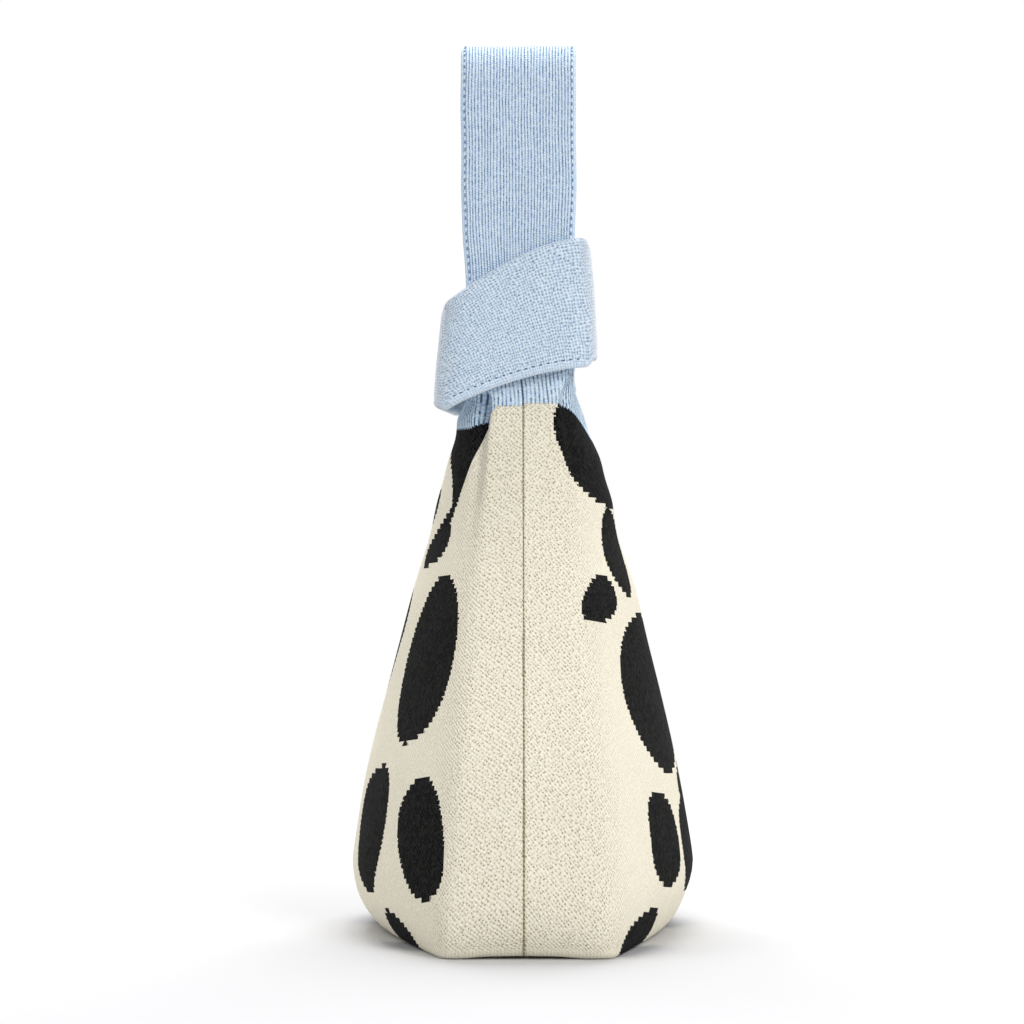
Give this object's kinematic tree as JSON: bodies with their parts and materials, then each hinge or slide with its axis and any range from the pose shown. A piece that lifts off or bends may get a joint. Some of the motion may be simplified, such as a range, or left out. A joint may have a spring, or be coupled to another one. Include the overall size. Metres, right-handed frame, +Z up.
{
  "type": "knitted knot bag",
  "caption": "Soft knitted knot bag with a boxed base and a narrow neck, closed by a short handle that wraps round its upright wrist loop as a slanted band.",
  "frame": {"origin": "middle of the base, on the surface that the bag stands on", "axes": "+Z up towards the handles, X across the bag's thickness, Y along its length; the end in the picture faces -Y"},
  "size_m": [0.1302, 0.22, 0.3458],
  "materials": {
    "cream_knit": "matte cream knit with knitted-in black spots",
    "blue_knit": "matte pale blue knit",
    "seam_yarn": "matte cream seam allowance",
    "edge_thread": "pale blue stitching thread"
  },
  "bodies": {
    "bag": {"front_panel": "cream_knit", "back_panel": "cream_knit", "front_yoke": "blue_knit", "back_yoke": "blue_knit", "front_mouth_hem": "blue_knit", "back_mouth_hem": "blue_knit", "long_handle_near_leg": "blue_knit", "long_handle_far_leg": "blue_knit", "long_handle_near_bend": "blue_knit", "long_handle_far_bend": "blue_knit", "short_handle_front_leg": "blue_knit", "short_handle_back_leg": "blue_knit", "near_side_seam": "seam_yarn", "far_side_seam": "seam_yarn", "near_corner_seam": "seam_yarn", "far_corner_seam": "seam_yarn", "base_seam": "seam_yarn", "long_handle_leg_left_stitching": "edge_thread", "long_handle_leg_right_stitching": "edge_thread"},
    "short_loop": {"short_handle_bight": "blue_knit", "short_handle_stitching": "edge_thread"},
    "handle_loop": {"long_handle_loop": "blue_knit", "long_handle_loop_left_stitching": "edge_thread", "long_handle_loop_right_stitching": "edge_thread"}
  },
  "joints": [
    {"name": "short_loop_slide", "type": "slide", "parent": "bag", "child": "short_loop", "axis": [0, 0, 1], "range_m": [0, 0.018], "deforming": ["short_handle_front_leg", "short_handle_back_leg"]},
    {"name": "handle_flop", "type": "hinge", "parent": "bag", "child": "handle_loop", "pos_m": [0, -0.0092, 0.3015], "axis": [1, 0, 0], "range_deg": [-75, 75], "deforming": ["long_handle_near_bend", "long_handle_far_bend"]}
  ]
}
